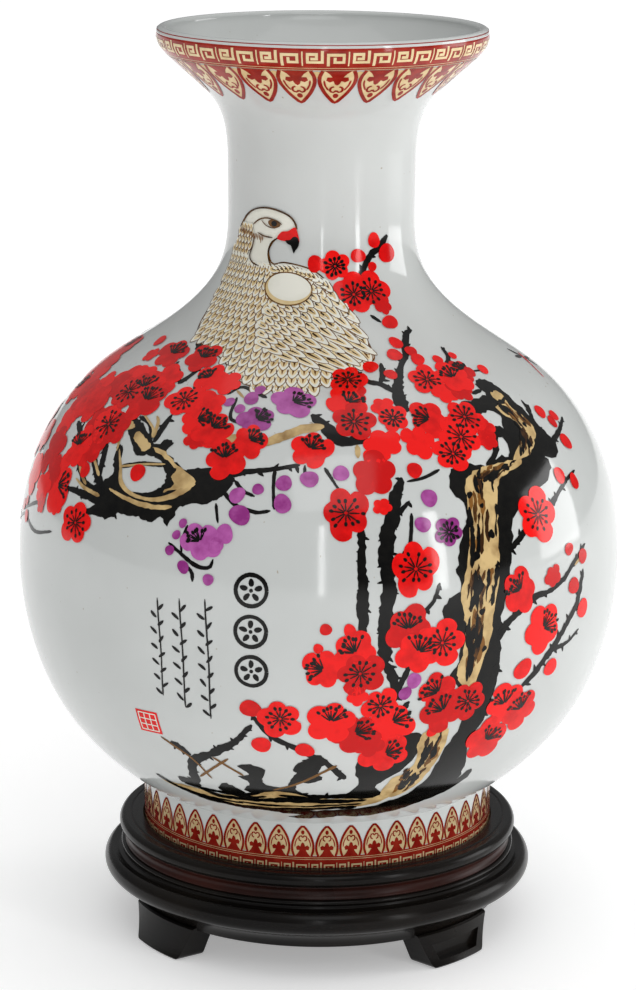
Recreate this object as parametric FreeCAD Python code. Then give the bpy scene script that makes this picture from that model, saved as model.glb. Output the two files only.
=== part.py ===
"""A globe-bodied porcelain vase on a turned wooden stand with four feet.

Millimetres, +Z up. The origin is on the vase's axis, level with the floor, and -Y is the front.
Each physical piece is a node of its own, written to parts/NODE.step.
"""

import FreeCAD, Part
import math
import os

from FreeCAD import Vector

# ---------------------------------------------------------------- vase
# Heights in this section are above the vase's own base.
VASE_HEIGHT = 355.6
BELLY_RADIUS = 131.0
BELLY_HEIGHT = 128.0
NECK_RADIUS = 40.2
NECK_HEIGHT = 290.0
LIP_RADIUS = 70.4
LIP_ROUNDING = 2.2
WALL = 5.6

FOOT_RING_RADIUS = 76.8
FOOT_RING_HEIGHT = 27.0
FOOT_RING_WALL = 6.6
FOOT_RING_ROUNDING = 1.2
UNDERSIDE_DEPTH = 14.0
BASE_THICKNESS = 7.0

# Outside of the body from the foot ring's top to the lip, as (radius, height).
BODY_OUTSIDE = [
    (FOOT_RING_RADIUS, FOOT_RING_HEIGHT),
    (96.1, 41.6),
    (115.7, 66.3),
    (127.2, 96.0),
    (BELLY_RADIUS, BELLY_HEIGHT),
    (123.7, 170.3),
    (99.9, 204.9),
    (61.2, 232.6),
    (43.4, 254.4),
    (NECK_RADIUS, NECK_HEIGHT),
    (45.4, 323.7),
    (54.8, 333.8),
    (64.6, 342.6),
    (69.6, 348.4),
    (LIP_RADIUS, VASE_HEIGHT - LIP_ROUNDING),
]

# Inside: the flare above the neck's straight bore, and the chamber below it.
BORE_RADIUS = NECK_RADIUS - WALL
BORE_TOP = 304.0
BORE_BOTTOM = 264.0
FLARE_INSIDE = [
    (BORE_RADIUS, BORE_TOP),
    (39.9, 325.6),
    (50.2, 337.4),
    (60.2, 346.0),
    (LIP_RADIUS - 2 * LIP_ROUNDING, VASE_HEIGHT - LIP_ROUNDING),
]
CHAMBER_INSIDE = [
    (0, UNDERSIDE_DEPTH + BASE_THICKNESS),
    (35.0, 21.9),
    (66.0, 27.5),
    (92.0, 46.0),
    (110.8, 69.8),
    (121.9, 98.0),
    (BELLY_RADIUS - WALL, BELLY_HEIGHT),
    (118.3, 168.5),
    (95.8, 200.2),
    (60.6, 225.8),
    (45.2, 240.7),
    (37.0, 254.8),
    (BORE_RADIUS, BORE_BOTTOM),
]

# --------------------------------------------------------------- stand
# Heights in this section are above the floor.
STAND_HEIGHT = 49.0
SEAT_HEIGHT = 41.6
RECESS_RADIUS = FOOT_RING_RADIUS + 0.6
PANEL_THICKNESS = 8.0
PANEL_CLEARANCE = 0.2
LEDGE_RADIUS = 66.0

TOP_RING_BOTTOM = 43.2
WAIST_BOTTOM = 37.3
APRON_BOTTOM = 14.4
APRON_RADIUS = 80.9
TOP_BEAD_RADIUS = 88.0
WAIST_RADIUS = 84.7
BULGE_RADIUS = 94.6

# ---------------------------------------------------------------- feet
FOOT_INNER_RADIUS = 73.0
FOOT_OUTER_RADIUS = 86.0
FOOT_TOP_RADIUS = 83.5
FOOT_TOP = 15.9
FOOT_HALF_WIDTH_BOTTOM = 15.7
FOOT_HALF_WIDTH_TOP = 22.4
FOOT_CORNER = 4.0
FOOT_EDGE = 0.7
# Angles round the stand, from the front, positive towards the right-hand side.
FOOT_ANGLES = {
    "front_left_foot": -55.0,
    "front_right_foot": 47.0,
    "back_right_foot": 125.0,
    "back_left_foot": -133.0,
}
# The feet on one diagonal have a sunk window carved in the outer face.
WINDOWED_FEET = ("front_right_foot", "back_left_foot")
WINDOW_BOTTOM = 3.3
WINDOW_TOP = 10.6
WINDOW_HALF_WIDTH_BOTTOM = 11.9
WINDOW_HALF_WIDTH_TOP = 15.4
WINDOW_FLOOR = 81.4

DOWEL_RADIUS = 2.5
DOWEL_FIT = 0.05
DOWEL_END_GAP = 0.4
DOWEL_CIRCLE = 77.6
DOWEL_OFFSET = 8.0
DOWEL_BOTTOM = 6.0
DOWEL_TOP = 24.0

UP = Vector(0, 0, 1)
CENTRE = Vector(0, 0, 0)


def at(radius, height):
    """A point of an outline, in the plane through the axis."""
    return Vector(radius, 0, height)


def line(start, end):
    return Part.makeLine(at(*start), at(*end))


def polyline(points):
    return [line(a, b) for a, b in zip(points, points[1:])]


def arc(start, through, end):
    return Part.Arc(at(*start), at(*through), at(*end)).toShape()


def smooth(points):
    """A smooth curve through an outline's points."""
    curve = Part.BSplineCurve()
    curve.interpolate([at(*p) for p in points])
    return curve.toShape()


def turned(edges):
    """The solid that a closed outline sweeps round the axis."""
    return Part.Face(Part.Wire(edges)).revolve(CENTRE, UP, 360)


def trapezoid(bottom, top, half_bottom, half_top, inner, outer):
    """A block whose front view is a trapezoid, between two distances in front of the axis."""
    corners = [
        Vector(-half_bottom, -outer, bottom),
        Vector(half_bottom, -outer, bottom),
        Vector(half_top, -outer, top),
        Vector(-half_top, -outer, top),
    ]
    face = Part.Face(Part.makePolygon(corners + corners[:1]))
    return face.extrude(Vector(0, outer - inner, 0))


# ---------------------------------------------------------------- vase
def vase():
    """One fired piece: foot ring, globe body, neck and flared mouth, hollow throughout."""
    outside = smooth(BODY_OUTSIDE)
    lip = arc(BODY_OUTSIDE[-1], (LIP_RADIUS - LIP_ROUNDING, VASE_HEIGHT), FLARE_INSIDE[-1])
    flare = smooth(FLARE_INSIDE)
    bore = line((BORE_RADIUS, BORE_TOP), (BORE_RADIUS, BORE_BOTTOM))
    chamber = smooth(CHAMBER_INSIDE)
    axis = line((0, UNDERSIDE_DEPTH), CHAMBER_INSIDE[0])
    shape = turned([outside, lip, flare, bore, chamber, axis] + foot_ring_outline())
    shape.translate(Vector(0, 0, SEAT_HEIGHT))
    return shape


def foot_ring_outline():
    """The recessed underside, then the foot ring's inner wall, rounded tread and outer wall."""
    outer = FOOT_RING_RADIUS
    inner = FOOT_RING_RADIUS - FOOT_RING_WALL
    rounding = FOOT_RING_ROUNDING
    inset = rounding * (1 - math.sqrt(0.5))
    return [
        line((0, UNDERSIDE_DEPTH), (inner, UNDERSIDE_DEPTH)),
        line((inner, UNDERSIDE_DEPTH), (inner, rounding)),
        arc((inner, rounding), (inner + inset, inset), (inner + rounding, 0)),
        line((inner + rounding, 0), (outer - rounding, 0)),
        arc((outer - rounding, 0), (outer - inset, inset), (outer, rounding)),
        line((outer, rounding), (outer, FOOT_RING_HEIGHT)),
    ]


# --------------------------------------------------------------- stand
def top_ring():
    """The flat rim round the recess, with a fine V groove and a half-round bead outside."""
    groove = 82.7
    groove_half = 0.5
    nose_top = TOP_BEAD_RADIUS - 2.1
    nose_bottom = TOP_BEAD_RADIUS - 1.5
    nose_height = 46.1
    top = polyline(
        [
            (nose_top, STAND_HEIGHT),
            (groove + groove_half, STAND_HEIGHT),
            (groove, STAND_HEIGHT - groove_half),
            (groove - groove_half, STAND_HEIGHT),
            (RECESS_RADIUS, STAND_HEIGHT),
            (RECESS_RADIUS, TOP_RING_BOTTOM),
            (nose_bottom, TOP_RING_BOTTOM),
        ]
    )
    bead = arc(
        (nose_bottom, TOP_RING_BOTTOM),
        (TOP_BEAD_RADIUS, nose_height),
        (nose_top, STAND_HEIGHT),
    )
    return turned(top + [bead])


def waist_ring():
    """The narrow hollow-faced ring between the top bead and the base ring's mouldings."""
    lip = WAIST_RADIUS + 0.9
    hollow_bottom = WAIST_BOTTOM + 0.7
    hollow_top = TOP_RING_BOTTOM - 0.7
    hollow_centre = (hollow_bottom + hollow_top) / 2
    hollow = arc((lip, hollow_bottom), (WAIST_RADIUS, hollow_centre), (lip, hollow_top))
    rest = polyline(
        [
            (lip, hollow_top),
            (lip, TOP_RING_BOTTOM),
            (RECESS_RADIUS, TOP_RING_BOTTOM),
            (RECESS_RADIUS, WAIST_BOTTOM),
            (lip, WAIST_BOTTOM),
            (lip, hollow_bottom),
        ]
    )
    return turned([hollow] + rest)


def base_ring():
    """Cove, bulge, groove, flat band and fine bead outside; a ledge for the floor panel inside."""
    panel_bottom = SEAT_HEIGHT - PANEL_THICKNESS
    cove = arc((APRON_RADIUS, APRON_BOTTOM), (84.3, 19.4), (91.0, 23.6))
    bulge = arc((91.0, 23.6), (BULGE_RADIUS, 29.6), (91.6, 34.0))
    bead = arc((86.6, 35.1), (87.3, 36.1), (86.5, WAIST_BOTTOM))
    mouldings = polyline([(91.6, 34.0), (88.4, 33.2), (86.8, 33.9), (86.6, 35.1)])
    inside = polyline(
        [
            (86.5, WAIST_BOTTOM),
            (RECESS_RADIUS, WAIST_BOTTOM),
            (RECESS_RADIUS, panel_bottom),
            (LEDGE_RADIUS, panel_bottom),
            (LEDGE_RADIUS, APRON_BOTTOM),
            (APRON_RADIUS, APRON_BOTTOM),
        ]
    )
    return turned([cove, bulge] + mouldings + [bead] + inside)


def floor_panel():
    """The disc that the vase stands on, dropped into the rings with room to swell."""
    radius = RECESS_RADIUS - PANEL_CLEARANCE
    return Part.makeCylinder(radius, PANEL_THICKNESS, Vector(0, 0, SEAT_HEIGHT - PANEL_THICKNESS))


# ---------------------------------------------------------------- feet
def foot_collar():
    """A ring with a foot's section: straight inside, and outside flared out to the floor."""
    flare = arc(
        (FOOT_OUTER_RADIUS, FOOT_EDGE),
        (FOOT_TOP_RADIUS + 0.7, FOOT_TOP / 2),
        (FOOT_TOP_RADIUS, FOOT_TOP - FOOT_EDGE),
    )
    rest = polyline(
        [
            (FOOT_TOP_RADIUS, FOOT_TOP - FOOT_EDGE),
            (FOOT_TOP_RADIUS - FOOT_EDGE, FOOT_TOP),
            (FOOT_INNER_RADIUS, FOOT_TOP),
            (FOOT_INNER_RADIUS, 0),
            (FOOT_OUTER_RADIUS - FOOT_EDGE, 0),
            (FOOT_OUTER_RADIUS, FOOT_EDGE),
        ]
    )
    return turned([flare] + rest)


def foot_block():
    """A foot's front view: narrower at the floor, with the two lower corners rounded."""
    block = trapezoid(
        0,
        FOOT_TOP,
        FOOT_HALF_WIDTH_BOTTOM,
        FOOT_HALF_WIDTH_TOP,
        FOOT_INNER_RADIUS - 15,
        FOOT_OUTER_RADIUS + 5,
    )
    floor_corners = [e for e in block.Edges if is_floor_corner(e)]
    return block.makeFillet(FOOT_CORNER, floor_corners)


def is_floor_corner(edge):
    """True for the two edges at floor height that run from front to back."""
    a, b = (v.Point for v in edge.Vertexes)
    return a.z == b.z == 0 and abs(a.x - b.x) < FOOT_EDGE


def window():
    return trapezoid(
        WINDOW_BOTTOM,
        WINDOW_TOP,
        WINDOW_HALF_WIDTH_BOTTOM,
        WINDOW_HALF_WIDTH_TOP,
        WINDOW_FLOOR,
        FOOT_OUTER_RADIUS + 5,
    )


def pegs(radius, end_gap):
    """One foot's two upright pegs, facing the front."""
    height = DOWEL_TOP - DOWEL_BOTTOM + 2 * end_gap
    bottom = DOWEL_BOTTOM - end_gap
    places = [Vector(side * DOWEL_OFFSET, -DOWEL_CIRCLE, bottom) for side in (-1, 1)]
    return [Part.makeCylinder(radius, height, place) for place in places]


def turned_to(shape, angle):
    """A copy of a shape made facing the front, carried round the axis to a foot's place."""
    copy = shape.copy()
    copy.rotate(CENTRE, UP, angle)
    return copy


def all_pegs(radius, end_gap):
    return [turned_to(p, a) for a in FOOT_ANGLES.values() for p in pegs(radius, end_gap)]


def foot(has_window):
    """One foot facing the front, lapping up the outside of the base ring's cove."""
    shape = foot_collar().common(foot_block()).cut(base_ring())
    if has_window:
        shape = shape.cut(window())
    return shape.cut(pegs(DOWEL_RADIUS + DOWEL_FIT, DOWEL_END_GAP))


def build():
    """Every node of the object, by name."""
    nodes = {
        "vase": vase(),
        "stand_top_ring": top_ring(),
        "stand_waist_ring": waist_ring(),
        "stand_base_ring": base_ring().cut(all_pegs(DOWEL_RADIUS + DOWEL_FIT, DOWEL_END_GAP)),
        "stand_floor_panel": floor_panel(),
        "foot_dowels": Part.makeCompound(all_pegs(DOWEL_RADIUS, 0)),
    }
    for name, angle in FOOT_ANGLES.items():
        nodes[name] = turned_to(foot(name in WINDOWED_FEET), angle)
    return nodes


def main():
    os.makedirs("parts", exist_ok=True)
    for name, shape in build().items():
        shape.exportStep(f"parts/{name}.step")
        print(name, shape.ShapeType, "solids", len(shape.Solids), "volume", round(shape.Volume))


main()
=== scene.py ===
import math

import bmesh
import bpy
import numpy as np
from mathutils import Matrix, Vector
from mathutils.geometry import delaunay_2d_cdt


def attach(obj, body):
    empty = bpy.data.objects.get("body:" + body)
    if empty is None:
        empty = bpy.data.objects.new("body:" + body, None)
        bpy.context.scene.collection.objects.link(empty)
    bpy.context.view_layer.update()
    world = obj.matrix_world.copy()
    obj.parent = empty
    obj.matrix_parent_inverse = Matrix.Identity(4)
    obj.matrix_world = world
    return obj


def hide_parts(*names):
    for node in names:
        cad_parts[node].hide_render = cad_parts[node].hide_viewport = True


# The looks of a painted globe vase and its lacquered stand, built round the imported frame: metres,
# +Z up, -Y the front. The painting is laid out in its own coordinates: an angle round the axis in
# degrees, 0 at the front and positive to the right, and a climb in millimetres along the outside
# of the vase from its widest circle, positive upwards.
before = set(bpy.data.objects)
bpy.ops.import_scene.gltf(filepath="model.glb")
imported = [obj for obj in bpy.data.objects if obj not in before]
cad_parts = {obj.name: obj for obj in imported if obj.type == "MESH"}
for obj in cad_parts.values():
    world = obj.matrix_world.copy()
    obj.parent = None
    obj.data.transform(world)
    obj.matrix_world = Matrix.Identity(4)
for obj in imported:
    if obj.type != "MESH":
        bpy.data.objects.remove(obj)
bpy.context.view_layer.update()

MM = 0.001
FLAT = 1e-6
SEGMENTS = 256
ROUND = 2 * math.pi
rng = np.random.default_rng(41)


# ------------------------------------------------------------ turned shapes
def section(node):
    """A turned node's section as (radius, height) points in order, read where its mesh meets +X."""
    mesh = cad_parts[node].data
    keys = {}
    for vertex in mesh.vertices:
        if abs(vertex.co.y) < FLAT and vertex.co.x > -FLAT:
            keys[vertex.index] = (round(vertex.co.x, 6), round(vertex.co.z, 6))
    links = {key: set() for key in keys.values()}
    for edge in mesh.edges:
        a, b = (keys.get(i) for i in edge.vertices)
        if a and b and a != b:
            links[a].add(b)
            links[b].add(a)
    join_level_ends(links)
    ends = [key for key in links if len(links[key]) == 1]
    path = [min(ends) if ends else min(links)]
    seen = set(path)
    ahead = sorted(links[path[0]])
    while ahead:
        path.append(ahead[0])
        seen.add(ahead[0])
        ahead = [key for key in sorted(links[path[-1]]) if key not in seen]
    return path


def join_level_ends(links):
    """A flat face has no edge across it, so its two rims are linked here."""
    loose = [key for key in links if len(links[key]) == 1]
    for a in loose:
        level = [b for b in loose if b != a and abs(b[1] - a[1]) < FLAT]
        if level and len(links[a]) == 1:
            b = min(level, key=lambda key: abs(key[0] - a[0]))
            links[a].add(b)
            links[b].add(a)


def rounded(loop, radius):
    """A closed section with its sharp corners cut back to small round ones."""
    sharp = math.radians(25)
    result = []
    count = len(loop)
    for i, corner in enumerate(loop):
        here = Vector(corner)
        before = Vector(loop[i - 1]) - here
        after = Vector(loop[(i + 1) % count]) - here
        if before.length < FLAT or after.length < FLAT:
            continue
        if (-before).angle(after) < sharp:
            result.append(corner)
            continue
        back = min(radius, before.length * 0.45)
        forth = min(radius, after.length * 0.45)
        start = here + before.normalized() * back
        end = here + after.normalized() * forth
        for t in (0.0, 0.25, 0.5, 0.75, 1.0):
            point = start * (1 - t) ** 2 + here * 2 * t * (1 - t) + end * t ** 2
            result.append((point.x, point.y))
    return result


def turned(name, outline, closed):
    """A mesh that an outline sweeps round the axis, with single points on the axis."""
    angles = np.arange(SEGMENTS) * 2 * math.pi / SEGMENTS
    vertices = []
    rows = []
    for radius, height in outline:
        first = len(vertices)
        if radius < FLAT:
            vertices.append((0.0, 0.0, height))
            rows.append([first] * SEGMENTS)
        else:
            vertices.extend((radius * math.sin(a), -radius * math.cos(a), height) for a in angles)
            rows.append(list(range(first, first + SEGMENTS)))
    pairs = list(zip(rows, rows[1:] + rows[:1])) if closed else list(zip(rows, rows[1:]))
    faces = []
    for low, high in pairs:
        for i in range(SEGMENTS):
            j = (i + 1) % SEGMENTS
            corners = [low[i], low[j], high[j], high[i]]
            faces.append(list(dict.fromkeys(corners)))
    mesh = bpy.data.meshes.new(name)
    mesh.from_pydata(vertices, [], faces)
    piece = bpy.data.objects.new(name, mesh)
    bpy.context.scene.collection.objects.link(piece)
    outward(mesh)
    mesh.shade_smooth()
    mesh.set_sharp_from_angle(angle=math.radians(40))
    return piece


def outward(mesh):
    """Turn a closed mesh's faces outwards."""
    form = bmesh.new()
    form.from_mesh(mesh)
    bmesh.ops.recalc_face_normals(form, faces=form.faces)
    form.to_mesh(mesh)
    form.free()


# ------------------------------------------------------- the painted surface
VASE_SECTION = section("vase")
if VASE_SECTION[0][0] < FLAT:
    VASE_SECTION.reverse()
VASE_SECTION.insert(0, (0.0, VASE_SECTION[0][1]))


def outside(path):
    """The outside of a section, from the foot's outer edge up to the lip, and its widest point."""
    widest = max(range(len(path)), key=lambda i: path[i][0])
    step = 1 if path[widest + 1][1] > path[widest][1] else -1
    up = widest
    while path[up + step][1] > path[up][1]:
        up += step
    down = widest
    while path[down - step][1] < path[down][1]:
        down -= step
    return [path[i] for i in range(down, up + step, step)], abs(widest - down)


def eased(points, parts):
    """Points on a smooth curve through others: Catmull-Rom, with an even number on each span."""
    points = np.asarray(points, float)
    padded = np.vstack([2 * points[0] - points[1], points, 2 * points[-1] - points[-2]])
    steps = np.arange(parts) / parts
    result = []
    for a, b, c, d in zip(padded, padded[1:], padded[2:], padded[3:]):
        for t in steps:
            bend = (2 * a - 5 * b + 4 * c - d) * t + (3 * b - a - 3 * c + d) * t * t
            result.append(b + 0.5 * t * (c - a + bend))
    result.append(points[-1])
    return np.array(result)


def climb_table():
    """Climb, radius, height and the outward normal's two parts, all along the outside."""
    path, widest = outside(VASE_SECTION)
    path = np.array(path) / MM
    steps = np.hypot(*np.diff(path, axis=0).T)
    climb = np.concatenate([[0], np.cumsum(steps)])
    climb -= climb[widest]
    radius, height = path.T
    rise = np.gradient(height, climb)
    growth = np.gradient(radius, climb)
    size = np.hypot(rise, growth)
    return climb, radius, height, rise / size, -growth / size


CLIMB, RADIUS, HEIGHT, FACING_OUT, FACING_UP = climb_table()


def radius_at(climb):
    return np.interp(climb, CLIMB, RADIUS)


def climb_at(height):
    return np.interp(height, HEIGHT, CLIMB)


def spot(angle, climb, lift):
    """Places and normals, in metres, of points of the painting lifted off the glaze."""
    turn = np.radians(angle)
    out = np.interp(climb, CLIMB, FACING_OUT)
    up = np.interp(climb, CLIMB, FACING_UP)
    radius = radius_at(climb) + out * lift
    height = np.interp(climb, CLIMB, HEIGHT) + up * lift
    places = np.column_stack([radius * np.sin(turn), -radius * np.cos(turn), height]) * MM
    normals = np.column_stack([out * np.sin(turn), -out * np.cos(turn), up])
    return places, normals / np.linalg.norm(normals, axis=1)[:, None]


def beside(angle, climb, across, up):
    """Painting coordinates of points given by millimetres across and up from a place."""
    climbs = climb + np.asarray(up, float)
    return angle + np.degrees(np.asarray(across, float) / radius_at(climbs)), climbs


# ------------------------------------------------------------ written shapes
def traced(text):
    """Points written as numbers joined by commas, with blanks between the points."""
    return [tuple(float(number) for number in point.split(",")) for point in text.split()]


def outlines(text):
    """Several lists of points, with semicolons between them."""
    return [traced(part) for part in text.split(";")]


def brush_lines(text):
    """Brush lines between semicolons, each as 'points | widths along them | roughness'."""
    lines = []
    for part in text.split(";"):
        path, widths, rough = part.split("|")
        lines.append((traced(path), [float(width) for width in widths.split()], float(rough)))
    return lines


# ---------------------------------------------------------------- brushwork
# The largest faces, in millimetres: a larger one would cut into the curved glaze.
RING_WIDTH = 3.0
STROKE_WIDTH = 3.5
BAND_WIDTH = 2.5


class Enamel:
    """Painted shapes of one colour, gathered into one thin piece that lies on the glaze."""

    def __init__(self, name, material, lift):
        self.name = name
        self.material = material
        self.lift = lift
        self.angles = []
        self.climbs = []
        self.lifts = []
        self.tones = []
        self.faces = []

    def add(self, angles, climbs, faces, tone=0.5, lift=0.0):
        first = len(self.angles)
        self.angles.extend(np.broadcast_to(angles, np.shape(climbs)))
        self.climbs.extend(climbs)
        self.lifts.extend([self.lift + lift] * len(climbs))
        self.tones.extend(np.broadcast_to(tone, np.shape(climbs)))
        self.faces.extend([first + i for i in face] for face in faces)

    def finish(self):
        """Make the piece and let it ride on the vase."""
        places, normals = spot(np.array(self.angles), np.array(self.climbs), np.array(self.lifts))
        mesh = bpy.data.meshes.new(self.name)
        mesh.from_pydata(places.tolist(), [], self.faces)
        tone = mesh.attributes.new("tone", "FLOAT", "POINT")
        tone.data.foreach_set("value", np.array(self.tones, np.float32))
        face_outwards(mesh, normals)
        mesh.shade_smooth()
        mesh.normals_split_custom_set_from_vertices(normals.tolist())
        mesh.materials.append(self.material)
        piece = bpy.data.objects.new(self.name, mesh)
        bpy.context.scene.collection.objects.link(piece)
        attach(piece, "vase")


def finish(*layers):
    for layer in layers:
        layer.finish()


def net(rows, columns, closed=False):
    """The faces of a net of points that are numbered along its rows."""
    faces = []
    for row in range(rows - 1):
        for i in range(columns if closed else columns - 1):
            a, j = row * columns, (i + 1) % columns
            faces.append([a + i, a + j, a + j + columns, a + i + columns])
    return faces


def face_outwards(mesh, normals):
    """Turn over the faces that look into the vase."""
    form = bmesh.new()
    form.from_mesh(mesh)
    form.normal_update()
    form.verts.ensure_lookup_table()
    inward = [f for f in form.faces if f.normal.dot(Vector(normals[f.verts[0].index])) < 0]
    bmesh.ops.reverse_faces(form, faces=inward)
    form.to_mesh(mesh)
    form.free()


def spread(layer, angle, climb, outline, tone=0.5, lift=0.0, edge_tone=None):
    """Fill a star-shaped outline, given in millimetres about its centre, by rings of faces."""
    count = len(outline)
    rings = max(1, math.ceil(np.abs(outline).max() / RING_WIDTH))
    shares = np.arange(1, rings + 1) / rings
    offsets = np.vstack([[[0.0, 0.0]]] + [outline * share for share in shares])
    last = tone if edge_tone is None else edge_tone
    tones = np.concatenate([[tone]] + [np.full(count, tone + (last - tone) * s) for s in shares])
    faces = [[0, 1 + i, 1 + (i + 1) % count] for i in range(count)]
    for ring in range(rings - 1):
        inner = 1 + ring * count
        outer = inner + count
        for i in range(count):
            j = (i + 1) % count
            faces.append([inner + i, outer + i, outer + j, inner + j])
    angles, climbs = beside(angle, climb, offsets[:, 0], offsets[:, 1])
    layer.add(angles, climbs, faces, tones, lift)


def oval(wide, high, turn=0.0, count=20, uneven=0.0):
    """An ellipse's outline by its half-width and half-height, turned by an angle in degrees."""
    t = np.arange(count) * 2 * math.pi / count
    shifts = rng.uniform(0, 6), rng.uniform(0, 6)
    size = 1 + uneven * np.sin(2 * t + shifts[0]) + uneven * np.sin(3 * t + shifts[1])
    x = wide * np.cos(t) * size
    y = high * np.sin(t) * size
    c, s = math.cos(math.radians(turn)), math.sin(math.radians(turn))
    return np.column_stack([x * c - y * s, x * s + y * c])


def brush_path(points, widths):
    """Painting points with the brush's width at each as a third column."""
    points = np.asarray(points, float)
    widths = np.atleast_1d(widths)
    ends = np.linspace(0, 1, len(points)), np.linspace(0, 1, len(widths))
    return np.column_stack([points, np.interp(*ends, widths)])


def stroke(layer, points, widths, rough=0.0, tone=0.5, lift=0.0, taper=0.35, spacing=1.6):
    """A brush line through points of the painting, with one or more widths in millimetres."""
    line = brush_path(points, widths)
    if len(line) > 2:
        line = eased(line, 8)
    scale = np.radians(1) * radius_at(line[:, 1])
    runs = np.hypot(np.diff(line[:, 0]) * (scale[1:] + scale[:-1]) / 2, np.diff(line[:, 1]))
    along = np.concatenate([[0], np.cumsum(runs)])
    count = max(3, math.ceil(along[-1] / spacing) + 1)
    marks = np.linspace(0, along[-1], count)
    angle, climb, width = (np.interp(marks, along, line[:, k]) for k in range(3))
    scale = np.radians(1) * radius_at(climb)
    dx = np.gradient(angle) * scale
    dy = np.gradient(climb)
    size = np.hypot(dx, dy)
    side_x, side_y = -dy / size, dx / size
    ends = np.minimum(1, taper + np.minimum(marks, along[-1] - marks) / np.maximum(width, 0.5))
    left = width / 2 * ends * ragged(count, rough)
    right = width / 2 * ends * ragged(count, rough)
    columns = max(1, math.ceil(width.max() / STROKE_WIDTH))
    angles, climbs = [], []
    for share in np.linspace(-1, 1, columns + 1):
        reach = np.where(share < 0, left, right) * share
        angles.append(angle + side_x * reach / scale)
        climbs.append(climb + side_y * reach)
    faces = net(columns + 1, count)
    layer.add(np.concatenate(angles), np.concatenate(climbs), faces, tone, lift)


def ragged(count, rough):
    """Factors about 1 that make a brush line's edge uneven, finely and in longer waves."""
    if not rough:
        return np.ones(count)
    grain = rng.uniform(-1, 1, count)
    places = np.arange(0, count + 5, 5)
    waves = np.interp(np.arange(count), places, rng.uniform(-1, 1, len(places)))
    return 1 + rough * (0.45 * grain + 0.8 * waves)


def spurs(layer, points, widths):
    """Short thorns and broken twigs along a branch, left and right at uneven distances."""
    line = eased(brush_path(points, widths), 8)
    scale = np.radians(1) * radius_at(line[:, 1])
    steps = np.column_stack([np.diff(line[:, 0]) * scale[1:], np.diff(line[:, 1])])
    along = np.concatenate([[0], np.cumsum(np.hypot(*steps.T))])
    mark = rng.uniform(1, 4)
    while mark < along[-1]:
        i = min(np.searchsorted(along, mark), len(steps)) - 1
        heading = math.atan2(steps[i][1], steps[i][0]) + rng.choice([-1, 1]) * rng.uniform(0.7, 1.5)
        reach = line[i, 2] / 2 + rng.uniform(0.7, 2.4)
        end = beside(line[i, 0], line[i, 1], reach * math.cos(heading), reach * math.sin(heading))
        stroke(layer, [line[i, :2], end], (2.2, 0.7), 0.2, 0.45, taper=0.5, spacing=1.2)
        mark += rng.uniform(3, 8)


def patch(layer, outline, holes=(), rough=0.0, tone=0.5, lift=0.0, grid=3.2, straight=False):
    """Fill a closed outline of painting points, less its holes, with small triangles."""
    flat = np.radians(1) * radius_at(np.mean([climb for _, climb in outline]))
    rings = [divided(ring) if straight else closed_line(ring, rough) for ring in (outline, *holes)]
    rings = [ring * (flat, 1) for ring in rings]
    low, high = rings[0].min(0), rings[0].max(0)
    inner = []
    for k, y in enumerate(np.arange(low[1] + grid / 2, high[1], grid)):
        for x in np.arange(low[0] + grid / 2 * (k % 2), high[0], grid):
            if in_rings((x, y), rings):
                inner.append((x, y))
    points = [Vector(p) for ring in rings for p in ring]
    edges = []
    start = 0
    for ring in rings:
        n = len(ring)
        edges.extend((start + i, start + (i + 1) % n) for i in range(n))
        start += n
    points.extend(Vector(p) for p in inner)
    result = delaunay_2d_cdt(points, edges, [], 1, 1e-4)
    corners = np.array([(p.x, p.y) for p in result[0]])
    faces = [f for f in result[2] if in_rings(corners[list(f)].mean(0), rings)]
    used = sorted({i for f in faces for i in f})
    number = {old: new for new, old in enumerate(used)}
    corners = corners[used] / (flat, 1)
    layer.add(corners[:, 0], corners[:, 1], [[number[i] for i in f] for f in faces], tone, lift)


def closed_line(points, rough):
    """A closed outline eased through its points, with an uneven edge in millimetres."""
    points = np.asarray(points, float)
    wrapped = np.vstack([points[-1], points, points[0], points[1]])
    line = eased(wrapped, 4)[4:-5]
    if rough:
        line = line + rng.uniform(-rough, rough, line.shape) * (0.45, 1)
    return line


def divided(points):
    """A closed outline as it stands, with more points along its longer sides."""
    step = 1.5
    points = np.asarray(points, float)
    result = []
    for a, b in zip(points, np.roll(points, -1, axis=0)):
        run = np.hypot((b[0] - a[0]) * np.radians(1) * radius_at(a[1]), b[1] - a[1])
        count = max(1, math.ceil(run / step))
        result.extend(a + (b - a) * i / count for i in range(count))
    return np.array(result)


def in_rings(point, rings):
    """True inside the first ring and outside the others, by counting crossings."""
    inside = False
    x, y = point
    for ring in rings:
        a, b = ring, np.roll(ring, -1, axis=0)
        spans = (a[:, 1] > y) != (b[:, 1] > y)
        a, b = a[spans], b[spans]
        cut = a[:, 0] + (y - a[:, 1]) / (b[:, 1] - a[:, 1]) * (b[:, 0] - a[:, 0])
        if np.count_nonzero(cut > x) % 2:
            inside = not inside
    return inside


# ---------------------------------------------------------------- materials
BLACK = (0, 0, 0, 1)
WHITE = (1, 1, 1, 1)


def linear(red, green, blue):
    """A colour given by its display values from 0 to 255."""
    shares = [value / 255 for value in (red, green, blue)]
    return tuple(s / 12.92 if s <= 0.04045 else ((s + 0.055) / 1.055) ** 2.4 for s in shares) + (1,)


def new_material(name, roughness, specular):
    material = bpy.data.materials.new(name)
    material.use_nodes = True
    shader = material.node_tree.nodes["Principled BSDF"]
    shader.inputs["Roughness"].default_value = roughness
    shader.inputs["Specular IOR Level"].default_value = specular
    return material, material.node_tree, shader


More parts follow.
